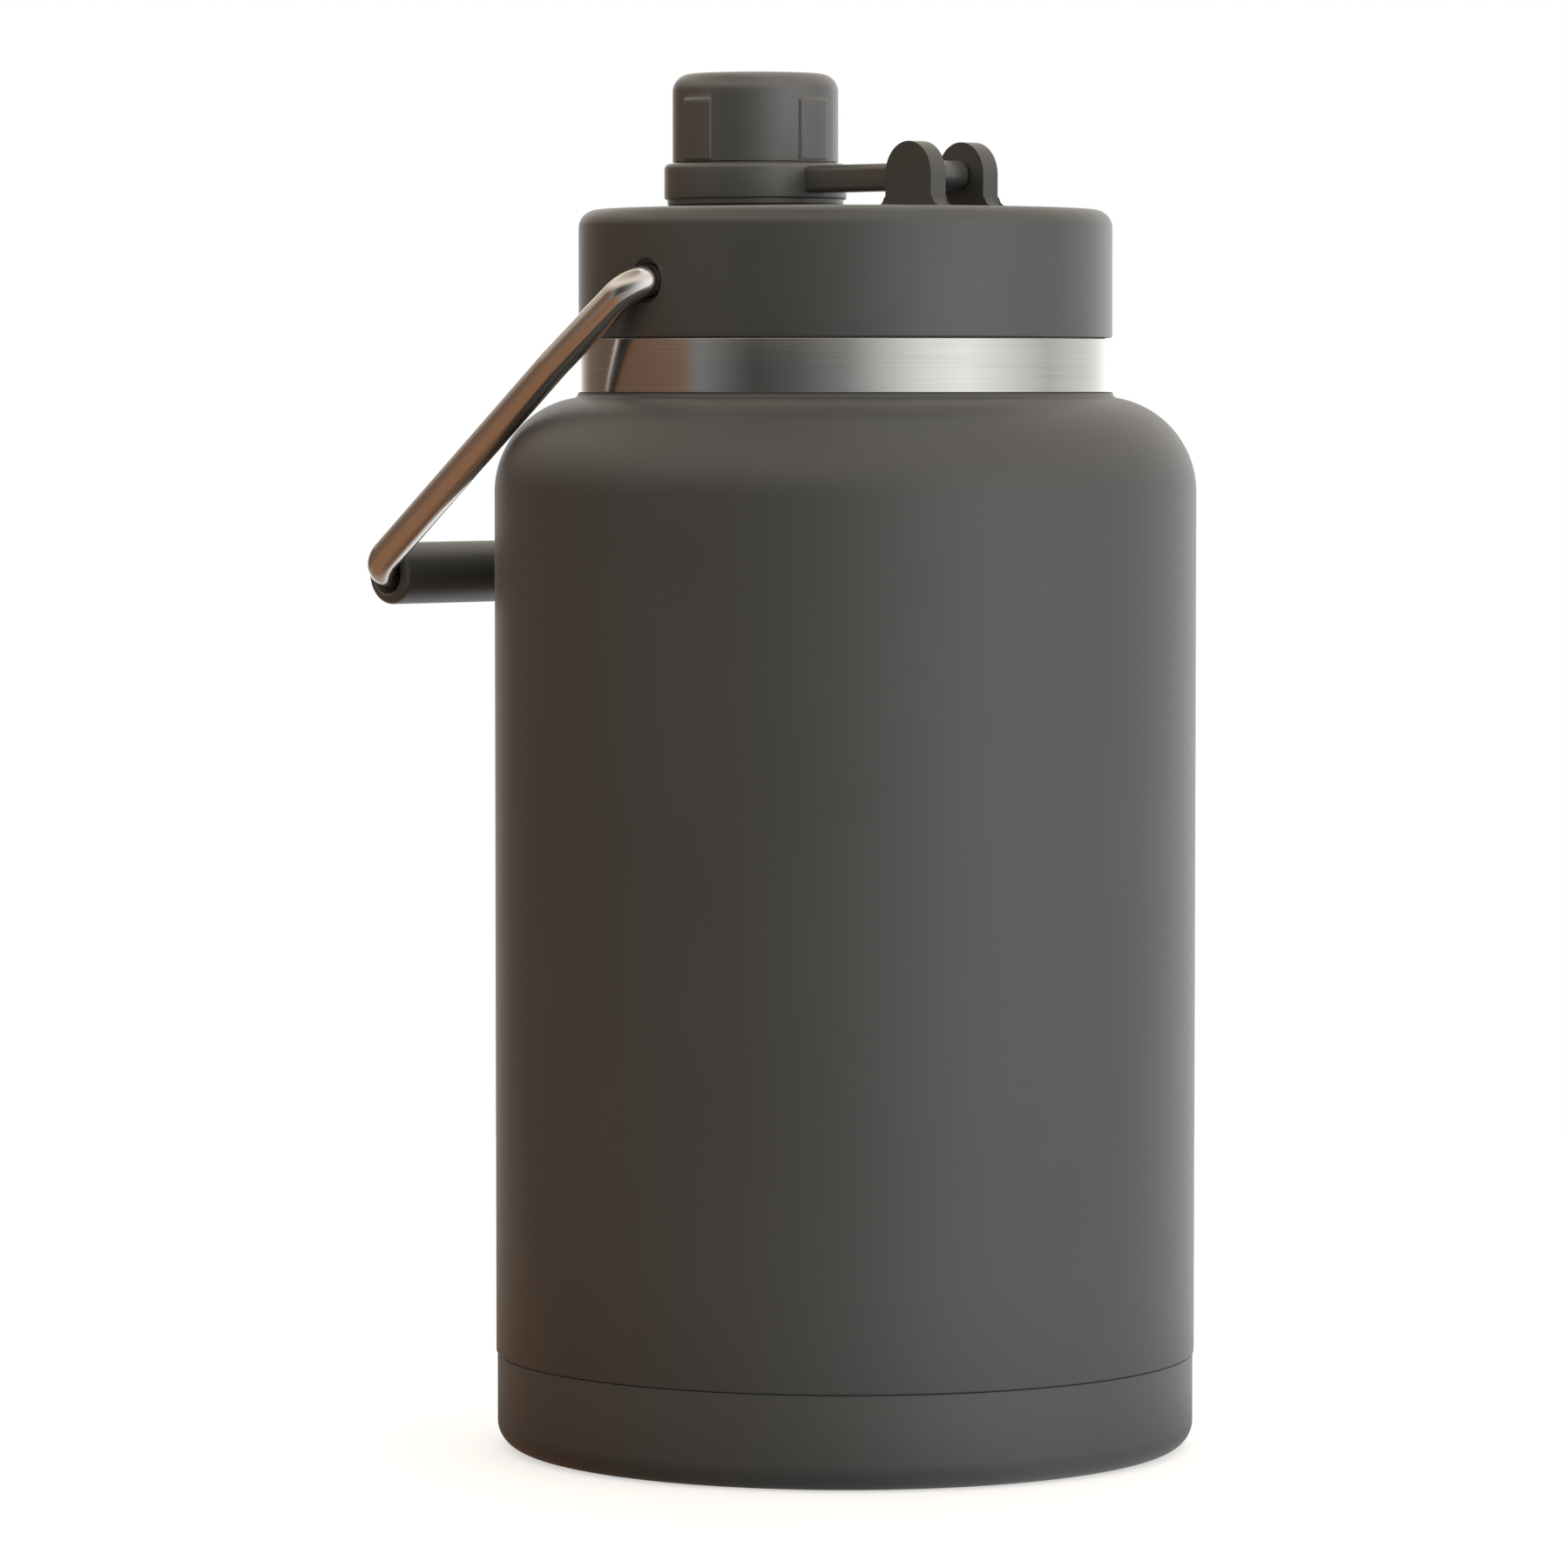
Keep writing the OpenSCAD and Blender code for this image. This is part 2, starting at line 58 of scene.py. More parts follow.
# Sizes read from the CAD frame
SHELL_LOW, SHELL_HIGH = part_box("outer_shell")
BAND_LOW, BAND_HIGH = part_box("neck_band")
CUP_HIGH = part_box("base_cup")[1]
LID_LOW, LID_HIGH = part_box("lid_shell")
CAP_LOW, CAP_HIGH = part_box("cap_shell")
PIN_LOW, PIN_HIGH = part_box("hinge_pin")
BODY_R = SHELL_HIGH.x
SEAM_Z = SHELL_LOW.z
COLLAR_Z = BAND_LOW.z
BAND_R = BAND_HIGH.x
RIM_Z = BAND_HIGH.z
CUP_R = CUP_HIGH.x
LID_R = LID_HIGH.x
LID_Z = LID_LOW.z
CAP_X = (CAP_LOW.x + CAP_HIGH.x) / 2
CAP_TOP = CAP_HIGH.z
PIN_X = (PIN_LOW.x + PIN_HIGH.x) / 2
PIN_Z = (PIN_LOW.z + PIN_HIGH.z) / 2
BAIL_Z = next(j for j in frame["joints"] if j["name"] == "handle_swing")["pos_m"][2]

# Sizes of the vessel
WALL = 0.8 * MM
SHOULDER_Z = 182.8 * MM
SHOULDER_ROUND = 18.2 * MM
SHELL_EDGE = 0.3 * MM
COLLAR_ROUND = 1 * MM
BAND_FOOT_ROUND = 0.3 * MM
BAND_RIM_ROUND = 0.08 * MM
BAND_INNER_ROUND = 0.2 * MM
CUP_ROUND = 5 * MM
STAND_INNER_R = 54 * MM
RECESS_R = 50 * MM
RECESS_Z = 2 * MM
RECESS_ROUND = 1.5 * MM
SEAM_GROOVE = 0.15 * MM

# Sizes of the lid
LID_TOP = 236.5 * MM
LID_ROUND = 3.5 * MM
LID_FOOT_ROUND = 0.3 * MM
LID_WALL = 2.4 * MM
SKIRT_WALL = 1 * MM
SKIRT_H = 1.9 * MM
BUSH_HOLE_R = 4.1 * MM
HOLE_EDGE = 0.3 * MM
HOLE_INSET = 0.1 * MM     # from the lid's side to where a hole is at its widest
HOLE_OVERLAP = 2 * MM     # how far a hole starts inside the lid's wall
SPOUT_R = 11.6 * MM
EAR_R = 6.2 * MM
EAR_T = 3.8 * MM
EAR_GAP = 9.8 * MM
EAR_FLARE = 2.1 * MM
EAR_EDGE = 0.9 * MM
EAR_ROOT = 1.5 * MM
PIN_R = (PIN_HIGH.x - PIN_LOW.x) / 2

# Sizes of the strap and the cap
RING_R = 17.6 * MM
RING_INNER_R = 15.3 * MM
RING_Z = (238.9 * MM, 245.8 * MM)
RING_ROUND = 1.1 * MM
RING_INNER_ROUND = 0.2 * MM
RING_FOOT_Z = 237.7 * MM
RING_FOOT_R = 17 * MM
RING_FOOT_INNER_R = 16.2 * MM
RING_FOOT_ROUND = 0.4 * MM
ARM_H = 5.2 * MM
ARM_DROP = 0.2 * MM
ARM_W = 6 * MM
ARM_EDGE = 1.2 * MM
BARREL_HALF = 4.65 * MM
BARREL_R = 2.7 * MM
BARREL_EDGE = 0.4 * MM
PIN_GAP = 0.06 * MM
CAP_R = 16 * MM
CAP_NECK_R = 14.9 * MM
CAP_BEAD_R = 15.9 * MM
CAP_BEAD_H = 0.9 * MM
CAP_BEAD_EDGE = 0.3 * MM
CAP_SKIRT_Z = 246.1 * MM
CAP_ROUND = 3.5 * MM
CAP_INNER_R = 14 * MM
CAP_ROOF = 2.2 * MM
PAD_RISE = 0.3 * MM       # from the skirt to the pads' lower edge
PAD_FOOT = 0.1 * MM       # height over which that lower edge slopes
PAD_HEAD = 1 * MM         # from the last plain level to the pads' top
PAD_TOP = 258 * MM
PAD_HEIGHT = 0.4 * MM
PAD_HALF_ANGLE = math.radians(13)
PAD_COUNT = 4
PAD_TURN = math.radians(2.5)
PAD_EDGE = 0.35 * MM      # half the width of a pad's sloped edge
EDGE_STEPS = (-1, -0.6, -0.2, 0.2, 0.6, 1)

# Sizes of the bail
WIRE_R = 3 * MM
BAIL_REACH = 94 * MM
BAIL_HALF = 55.5 * MM
BAIL_END = 44 * MM
BAIL_FLARE_Z = -26 * MM
BAIL_FLARE = math.radians(3.3)
BAIL_FLARE_ROUND = 30 * MM
BAIL_ELBOW = 5 * MM
BAIL_CORNER = 7 * MM
REST_ANGLE = math.radians(53.4)
GRIP_R = 6 * MM
GRIP_HALF = 51.3 * MM
GRIP_MOUTH_R = 4.1 * MM
GRIP_MOUTH_ROUND = 0.4 * MM
GRIP_GAP = 0.05 * MM
GRIP_ROUND = 1.5 * MM


# ---------------------------------------------------------------- mesh helpers

def arc(cx, cz, r, start, end, steps=16):
    """Points on an arc, from angle start to end in degrees."""
    angles = [math.radians(start + (end - start) * i / steps) for i in range(steps + 1)]
    return [(cx + r * math.cos(a), cz + r * math.sin(a)) for a in angles]


def rounded(corners, steps=6, closed=True):
    """Points of an outline whose corners (x, z, radius) are rounded."""
    points = []
    count = len(corners)
    for i, (x, z, radius) in enumerate(corners):
        here = Vector((x, z))
        at_end = not closed and i in (0, count - 1)
        if radius == 0 or at_end:
            points.append((x, z))
            continue
        back = (Vector(corners[i - 1][:2]) - here).normalized()
        on = (Vector(corners[(i + 1) % count][:2]) - here).normalized()
        half = math.acos(max(-1, min(1, back.dot(on)))) / 2
        reach = radius / math.tan(half)
        middle = here + (back + on).normalized() * radius / math.sin(half)
        first = here + back * reach - middle
        last = here + on * reach - middle
        turn = first.angle_signed(last)
        for k in range(steps + 1):
            spoke = Matrix.Rotation(-turn * k / steps, 2) @ first
            points.append(tuple(middle + spoke))
    return points


def new_piece(name, mesh_maker):
    """An object whose mesh is filled by mesh_maker(bm)."""
    bm = bmesh.new()
    mesh_maker(bm)
    bmesh.ops.remove_doubles(bm, verts=bm.verts, dist=WELD)
    bmesh.ops.recalc_face_normals(bm, faces=bm.faces)
    mesh = bpy.data.meshes.new(name)
    bm.to_mesh(mesh)
    bm.free()
    piece = bpy.data.objects.new(name, mesh)
    bpy.context.scene.collection.objects.link(piece)
    smooth(piece)
    return piece


def smooth(piece):
    """Smooth shading, with the sharp edges left crisp."""
    piece.data.polygons.foreach_set("use_smooth", [True] * len(piece.data.polygons))
    piece.data.set_sharp_from_angle(angle=math.radians(SMOOTH_ANGLE))


def lathe(name, outline, centre=(0, 0), steps=ROUND, angles=None, radius_at=None, turn=None):
    """A closed outline of (radius, z) points turned about a vertical axis.

    radius_at(angle, radius, z) may change a point's radius, and turn is a matrix for the result.
    """
    angles = angles or [2 * math.pi * i / steps for i in range(steps)]

    def fill(bm):
        rings = []
        for r, z in outline:
            if r < WELD:
                rings.append([bm.verts.new((centre[0], centre[1], z))] * len(angles))
                continue
            ring = []
            for a in angles:
                rr = radius_at(a, r, z) if radius_at else r
                ring.append(bm.verts.new((centre[0] + rr * math.cos(a),
                                          centre[1] + rr * math.sin(a), z)))
            rings.append(ring)
        for i, low in enumerate(rings):
            high = rings[(i + 1) % len(rings)]
            for k in range(len(angles)):
                n = (k + 1) % len(angles)
                corners = list(dict.fromkeys([low[k], low[n], high[n], high[k]]))
                if len(corners) > 2:
                    bm.faces.new(corners)
        if turn:
            bm.transform(turn)

    return new_piece(name, fill)


def sweep(name, route, radius, sides=48):
    """A round wire along a route of points, closed at both ends."""
    def fill(bm):
        rings = []
        side = None
        for i, p in enumerate(route):
            ahead = (route[min(i + 1, len(route) - 1)] - route[max(i - 1, 0)]).normalized()
            side = (side or ahead.orthogonal()) - ahead * (side or ahead.orthogonal()).dot(ahead)
            side.normalize()
            up = ahead.cross(side)
            spokes = [2 * math.pi * k / sides for k in range(sides)]
            rings.append([bm.verts.new(p + (side * math.cos(a) + up * math.sin(a)) * radius)
                          for a in spokes])
        for low, high in zip(rings, rings[1:]):
            for k in range(sides):
                n = (k + 1) % sides
                bm.faces.new((low[k], low[n], high[n], high[k]))
        bm.faces.new(rings[0][::-1])
        bm.faces.new(rings[-1])

    return new_piece(name, fill)


def slab(name, outline, depth, edge, turn, edge_steps=4):
    """An outline in the plane, given a depth and rounded edges, then placed by turn."""
    def fill(bm):
        bottom = [bm.verts.new((x, y, 0)) for x, y in outline]
        top = [bm.verts.new((x, y, depth)) for x, y in outline]
        low_face = bm.faces.new(bottom[::-1])
        high_face = bm.faces.new(top)
        for i in range(len(outline)):
            n = (i + 1) % len(outline)
            bm.faces.new((bottom[i], bottom[n], top[n], top[i]))
        rims = list(low_face.edges) + list(high_face.edges)
        bmesh.ops.bevel(bm, geom=rims, offset=edge, segments=edge_steps, profile=0.5,
                        affect="EDGES", clamp_overlap=True)
        bm.transform(turn)

    return new_piece(name, fill)


def combine(piece, others, how):
    """Adds other closed pieces to a piece, or cuts them out of it, and removes them."""
    for other in others:
        tool = piece.modifiers.new("combine", "BOOLEAN")
        tool.operation = how
        tool.solver = "EXACT"
        tool.object = other
        bpy.context.view_layer.update()
        done = piece.evaluated_get(bpy.context.evaluated_depsgraph_get())
        mesh = bpy.data.meshes.new_from_object(done)
        piece.modifiers.clear()
        piece.data = mesh
        bpy.data.objects.remove(other)
    smooth(piece)
    return piece


def rod_y(name, radius, y0, y1, x, z, flare=0.0, steps=SMALL_ROUND):
    """A rod along Y. flare rounds its end at y1 out by that much, and it then runs on past y1."""
    outline = [(0, y0), (radius, y0)]
    if flare:
        outline += arc(radius + flare, y1 - flare, flare, 180, 90, 6)
        outline += [(radius + flare, y1 + 5 * flare), (0, y1 + 5 * flare)]
    else:
        outline += [(radius, y1), (0, y1)]
    turn = Matrix.Translation((x, 0, z)) @ Matrix.Rotation(math.radians(-90), 4, "X")
    return lathe(name, outline, steps=steps, turn=turn)


# ---------------------------------------------------------------- materials

def colour_ramp(tree, value, stops):
    """A colour for each value, through stops of (place, grey or colour)."""
    node = tree.nodes.new("ShaderNodeValToRGB")
    tree.links.new(value, node.inputs["Fac"])
    elements = node.color_ramp.elements
    while len(elements) < len(stops):
        elements.new(0.5)
    for element, (place, colour) in zip(elements, stops):
        rgb = colour if isinstance(colour, tuple) else (colour,) * 3
        element.position = place
        element.color = (*rgb, 1)
    return node.outputs["Color"]


class Shader:
    """A Principled material whose nodes are added one by one."""

    def __init__(self, name, colour, roughness, metallic=0.0, **settings):
        self.material = bpy.data.materials.new(name)
        self.material.use_nodes = True
        self.tree = self.material.node_tree
        self.out = next(n for n in self.tree.nodes if n.type == "BSDF_PRINCIPLED")
        self.out.inputs["Base Color"].default_value = (*colour, 1)
        self.out.inputs["Roughness"].default_value = roughness
        self.out.inputs["Metallic"].default_value = metallic
        for key, value in settings.items():
            self.out.inputs[key.replace("_", " ")].default_value = value

    def add(self, kind, settings=None, **inputs):
        """A new node, with its settings and its linked or fixed inputs."""
        node = self.tree.nodes.new(kind)
        for key, value in (settings or {}).items():
            setattr(node, key, value)
        for key, value in inputs.items():
            socket = node.inputs[key.replace("_", " ")]
            if isinstance(value, bpy.types.NodeSocket):
                self.tree.links.new(value, socket)
            else:
                socket.default_value = value
        return node

    def noise(self, scale, detail=4.0, stretch=(1, 1, 1), roughness=0.55):
        """Noise over the object's own coordinates, as a value from 0 to 1."""
        place = self.add("ShaderNodeTexCoord").outputs["Object"]
        mapping = self.add("ShaderNodeMapping", Vector=place, Scale=stretch)
        return self.add("ShaderNodeTexNoise", Vector=mapping.outputs["Vector"], Scale=scale,
                        Detail=detail, Roughness=roughness).outputs["Fac"]

    def ramp(self, value, stops):
        """A colour for each value, through stops of (place, grey or colour)."""
        return colour_ramp(self.tree, value, stops)

    def bump(self, height, strength, distance, normal=None):
        """Bump from a height value."""
        inputs = {"Height": height, "Strength": strength, "Distance": distance}
        if normal:
            inputs["Normal"] = normal
        return self.add("ShaderNodeBump", **inputs).outputs["Normal"]

    def link(self, value, socket):
        """Feeds a value to one of the shader's own sockets."""
        self.tree.links.new(value, self.out.inputs[socket])


def tone(colour, factor):
    """A colour made lighter or darker by a factor."""
    return tuple(c * factor for c in colour)


def powder_coat():
    """Matte charcoal powder coat: a fine pebbled skin and faint cloudy variation."""
    colour = (0.061, 0.063, 0.061)
    s = Shader("powder_coat", colour, 0.45, Specular_IOR_Level=1.0, Sheen_Weight=0.18,
               Sheen_Roughness=0.3)
    cloud = s.noise(22, 3)
    s.link(s.ramp(cloud, [(0.3, tone(colour, 0.93)), (0.7, tone(colour, 1.07))]), "Base Color")
    grain = s.noise(2600, 2)
    s.link(s.ramp(grain, [(0.3, 0.41), (0.7, 0.49)]), "Roughness")
    fine = s.bump(grain, 0.10, 0.00012)
    s.link(s.bump(s.noise(700, 3), 0.06, 0.0002, fine), "Normal")
    return s.material


def moulded(name, colour, roughness, ior=1.5):
    """Satin moulded plastic with the faint texture of the mould."""
    s = Shader(name, colour, roughness, Specular_IOR_Level=1.0, IOR=ior, Sheen_Weight=0.15,
               Sheen_Roughness=0.3)
    s.link(s.ramp(s.noise(30, 3), [(0.3, tone(colour, 0.94)), (0.7, tone(colour, 1.06))]),
           "Base Color")
    grain = s.noise(3400, 2)
    s.link(s.ramp(grain, [(0.3, roughness - 0.04), (0.7, roughness + 0.05)]), "Roughness")
    s.link(s.bump(grain, 0.07, 0.00008), "Normal")
    return s.material


def brushed(name, colour, roughness, strength):
    """Steel brushed round the axis: fine lines that run round and vary slowly."""
    s = Shader(name, colour, roughness, 1.0, Anisotropic=0.6, Anisotropic_Rotation=0.25)
    tangent = s.add("ShaderNodeTangent", {"direction_type": "RADIAL", "axis": "Z"})
    s.link(tangent.outputs["Tangent"], "Tangent")
    lines = s.noise(60, 6, (0.5, 0.5, 90), 0.7)
    s.link(s.ramp(lines, [(0.3, tone(colour, 0.9)), (0.7, tone(colour, 1.08))]), "Base Color")
    s.link(s.ramp(lines, [(0.25, roughness - 0.04), (0.75, roughness + 0.05)]), "Roughness")
    s.link(s.bump(lines, strength, 0.00004), "Normal")
    return s.material


def polished():
    """Polished steel wire with faint smudges, slight tone changes and a fine bump."""
    colour = (0.74, 0.72, 0.70)
    s = Shader("polished_steel", colour, 0.12, 1.0)
    smudge = s.noise(90, 4)
    s.link(s.ramp(smudge, [(0.35, 0.10), (0.75, 0.19)]), "Roughness")
    s.link(s.ramp(s.noise(40, 3), [(0.3, tone(colour, 0.95)), (0.7, tone(colour, 1.04))]),
           "Base Color")
    s.link(s.bump(s.noise(500, 3), 0.03, 0.00005), "Normal")
    return s.material


def silicone():
    """Soft grey silicone."""
    s = Shader("silicone", (0.36, 0.36, 0.35), 0.55, Subsurface_Weight=0.15,
               Subsurface_Scale=0.001)
    s.link(s.ramp(s.noise(300, 3), [(0.3, 0.5), (0.7, 0.62)]), "Roughness")
    s.link(s.bump(s.noise(1500, 2), 0.06, 0.0001), "Normal")
    return s.material


def foam():
    """Rigid cream foam with small cells."""
    s = Shader("foam", (0.80, 0.77, 0.68), 0.9)
    s.link(s.ramp(s.noise(900, 2), [(0.35, (0.66, 0.63, 0.55)), (0.65, (0.83, 0.80, 0.72))]),
           "Base Color")
    s.link(s.bump(s.noise(900, 2), 0.4, 0.0004), "Normal")
    return s.material


def seal_metal():
    """Dull brass-coloured metal of the sealed inner pieces."""
    colour = (0.55, 0.44, 0.22)
    s = Shader("seal_metal", colour, 0.4, 1.0)
    s.link(s.ramp(s.noise(500, 3), [(0.3, 0.32), (0.7, 0.5)]), "Roughness")
    return s.material


MATERIALS = {
    "powder_coat": powder_coat(),
    "moulded_plastic": moulded("moulded_plastic", (0.058, 0.061, 0.059), 0.38, 1.54),
    # A lighter, more reflective copy of the lid's plastic for the cap and strap: painted light that makes up for
    # the shade they get above the lid.
    "cap_plastic": moulded("cap_plastic", (0.079, 0.081, 0.078), 0.36, 1.65),
    "grip_plastic": moulded("grip_plastic", (0.085, 0.088, 0.082), 0.42),
    "bush_plastic": moulded("bush_plastic", (0.055, 0.055, 0.053), 0.45),
    "brushed_steel": brushed("brushed_steel", (0.66, 0.65, 0.63), 0.17, 0.1),
    "liner_steel": brushed("liner_steel", (0.60, 0.60, 0.59), 0.34, 0.1),
    "polished_steel": polished(),
    "silicone": silicone(),
    "foam": foam(),
    "seal_metal": seal_metal(),
}


def dress(piece, slot):
    """Gives a piece its material, and no other."""
    piece.data.materials.clear()
    piece.data.materials.append(MATERIALS[slot])


def place(piece, slot, body, *nodes):
    """Gives a new piece its material and its body, and hides the CAD nodes that it stands for."""
    dress(piece, slot)
    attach(piece, body)
    if nodes:
        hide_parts(*nodes)
    return piece


# ---------------------------------------------------------------- vessel

def vessel_shell():
    """The painted side and shoulder, up to the concave line under the neck band."""
    cx = BODY_R - SHOULDER_ROUND
    lip_x = BAND_R + COLLAR_ROUND
    end = math.degrees(math.atan2(COLLAR_Z - SHOULDER_Z, lip_x - cx))
    outline = [(BODY_R - WALL, SEAM_Z), (BODY_R - SHELL_EDGE, SEAM_Z)]
    outline += arc(BODY_R - SHELL_EDGE, SEAM_Z + SHELL_EDGE, SHELL_EDGE, -90, 0, 4)
    outline += [(BODY_R, SEAM_Z + (SHOULDER_Z - SEAM_Z) * k / 8) for k in range(1, 8)]
    outline += arc(cx, SHOULDER_Z, SHOULDER_ROUND, 0, end, 40)
    outline += arc(lip_x, COLLAR_Z, COLLAR_ROUND, 180 + end, 180, 8)[1:]
    outline += [(BAND_R - WALL, COLLAR_Z)]
    outline += arc(cx, SHOULDER_Z, SHOULDER_ROUND - WALL, end, 0, 24)
    return lathe("vessel_shell", outline)


def vessel_band():
    """The bare steel collar, with a thin rounded edge at its foot and a crisp rim."""
    inner = BAND_R - WALL
    outline = rounded([(inner, COLLAR_Z, 0), (BAND_R, COLLAR_Z, BAND_FOOT_ROUND),
                       (BAND_R, RIM_Z, BAND_RIM_ROUND), (inner, RIM_Z, BAND_INNER_ROUND)])
    return lathe("vessel_band", outline)


def vessel_cup():
    """The painted base cup, with its small step under the seam and its recess below."""
    groove = SEAM_GROOVE
    outline = [(0, RECESS_Z)]
    outline += rounded([(RECESS_R, RECESS_Z, RECESS_ROUND), (STAND_INNER_R, 0, RECESS_ROUND)],
                       6, False)
    outline += arc(CUP_R - CUP_ROUND, CUP_ROUND, CUP_ROUND, -90, 0, 20)
    outline += arc(CUP_R - groove, SEAM_Z - 2 * groove, groove, 0, 90, 5)
    outline += [(BODY_R - WALL, SEAM_Z - groove), (BODY_R - WALL, CUP_HIGH.z),
                (BODY_R - 2 * WALL, CUP_HIGH.z), (BODY_R - 2 * WALL, SEAM_Z - WALL)]
    outline += arc(CUP_R - CUP_ROUND, CUP_ROUND, CUP_ROUND - WALL, 0, -90, 12)
    outline += [(STAND_INNER_R, WALL), (RECESS_R, RECESS_Z + WALL), (0, RECESS_Z + WALL)]
    return lathe("vessel_cup", outline)


# ---------------------------------------------------------------- lid

def ear_outline():
    """One hinge ear seen along the pin: a round top on a foot that flares into the lid."""
    foot = LID_TOP - PIN_Z
    sunk = foot - EAR_ROOT
    wide = EAR_R + EAR_FLARE
    right = [(wide, sunk), (wide, foot)]
    right += arc(wide, foot + EAR_FLARE, EAR_FLARE, 270, 180, 8)[1:]
    crown = arc(0, 0, EAR_R, 0, 180, 40)
    left = [(-x, z) for x, z in reversed(right)]
    return right + crown + left


def lid():
    """The moulded lid: rounded upper edge, two ears, seats for the bail, hole for the spout."""
    inner = LID_R - LID_WALL
    skirt = LID_Z + SKIRT_H
    roof = LID_TOP - LID_WALL
    outline = [(LID_R - SKIRT_WALL, LID_Z)]
    outline += arc(LID_R - LID_FOOT_ROUND, LID_Z + LID_FOOT_ROUND, LID_FOOT_ROUND, -90, 0, 5)
    outline += [(LID_R, LID_Z + (LID_TOP - LID_Z) * k / 6) for k in range(1, 5)]
    outline += arc(LID_R - LID_ROUND, LID_TOP - LID_ROUND, LID_ROUND, 0, 90, 14)
    outline += [(LID_R * k / 6, LID_TOP) for k in range(5, 0, -1)] + [(0, LID_TOP)]
    outline += [(0, roof), (inner, roof), (inner, skirt), (LID_R - SKIRT_WALL, skirt)]
    piece = lathe("lid_body", outline)
    upright = Matrix.Rotation(math.radians(90), 4, "X")
    ears = []
    for i, y in enumerate((-EAR_GAP / 2, EAR_GAP / 2 + EAR_T)):
        spot = Matrix.Translation((PIN_X, y, PIN_Z)) @ upright
        ears.append(slab(f"ear_{i}", ear_outline(), EAR_T, EAR_EDGE, spot))
    combine(piece, ears, "UNION")
    start, wide = inner - HOLE_OVERLAP, LID_R - HOLE_INSET
    holes = []
    for side in (0, 180):
        hole = rod_y(f"hole_{side}", BUSH_HOLE_R, start, wide, 0, BAIL_Z, HOLE_EDGE)
        hole.data.transform(Matrix.Rotation(math.radians(side), 4, "Z"))
        holes.append(hole)
    holes.append(rod_y("pin_hole", PIN_R, PIN_LOW.y, EAR_GAP / 2 + 2 * EAR_T, PIN_X, PIN_Z))
    low, high = roof - LID_WALL, LID_TOP + LID_WALL
    tube = [(0, low), (SPOUT_R, low), (SPOUT_R, high), (0, high)]
    holes.append(lathe("spout_hole", tube, (CAP_X, 0), SMALL_ROUND))
    return combine(piece, holes, "DIFFERENCE")


# ---------------------------------------------------------------- strap and cap

def strap():
    """The ring, the arm and the barrel of the strap, with softened edges."""
    low_z, high_z = RING_Z
    ring = rounded([(RING_INNER_R, low_z, RING_INNER_ROUND), (RING_FOOT_INNER_R, low_z, 0),
                    (RING_FOOT_INNER_R, RING_FOOT_Z, RING_INNER_ROUND),
                    (RING_FOOT_R, RING_FOOT_Z, RING_FOOT_ROUND), (RING_FOOT_R, low_z, 0),
                    (RING_R, low_z, RING_FOOT_ROUND), (RING_R, high_z, RING_ROUND),
                    (RING_INNER_R, high_z, RING_INNER_ROUND)])
    piece = lathe("cap_strap", ring, (CAP_X, 0), RING_STEPS)
    start = CAP_X + (RING_R + RING_INNER_R) / 2
    half, top = ARM_W / 2, PIN_Z + ARM_H / 2 - ARM_DROP
    low = top - ARM_H
    face = rounded([(-half, low, ARM_EDGE), (half, low, ARM_EDGE),
                    (half, top, ARM_EDGE), (-half, top, ARM_EDGE)], 5)

    def arm(bm):
        near = [bm.verts.new((start, y, z)) for y, z in face]
        far = [bm.verts.new((PIN_X, y, z)) for y, z in face]
        bm.faces.new(near)
        bm.faces.new(far[::-1])
        for i in range(len(face)):
            n = (i + 1) % len(face)
            bm.faces.new((near[i], near[n], far[n], far[i]))

    barrel = rounded([(0, -BARREL_HALF, 0), (BARREL_R, -BARREL_HALF, BARREL_EDGE),
                      (BARREL_R, BARREL_HALF, BARREL_EDGE), (0, BARREL_HALF, 0)])
    turn = Matrix.Translation((PIN_X, 0, PIN_Z)) @ Matrix.Rotation(math.radians(-90), 4, "X")
    pieces = [new_piece("arm", arm), lathe("barrel", barrel, steps=BARREL_STEPS, turn=turn)]
    combine(piece, pieces, "UNION")
    bore = rod_y("bore", PIN_R + PIN_GAP, -2 * BARREL_HALF, 2 * BARREL_HALF, PIN_X, PIN_Z)
    return combine(piece, [bore], "DIFFERENCE")


def ease(value, low, high):
    """0 below low, 1 above high, and a smooth rise between."""
    t = max(0.0, min(1.0, (value - low) / (high - low)))
    return t * t * (3 - 2 * t)


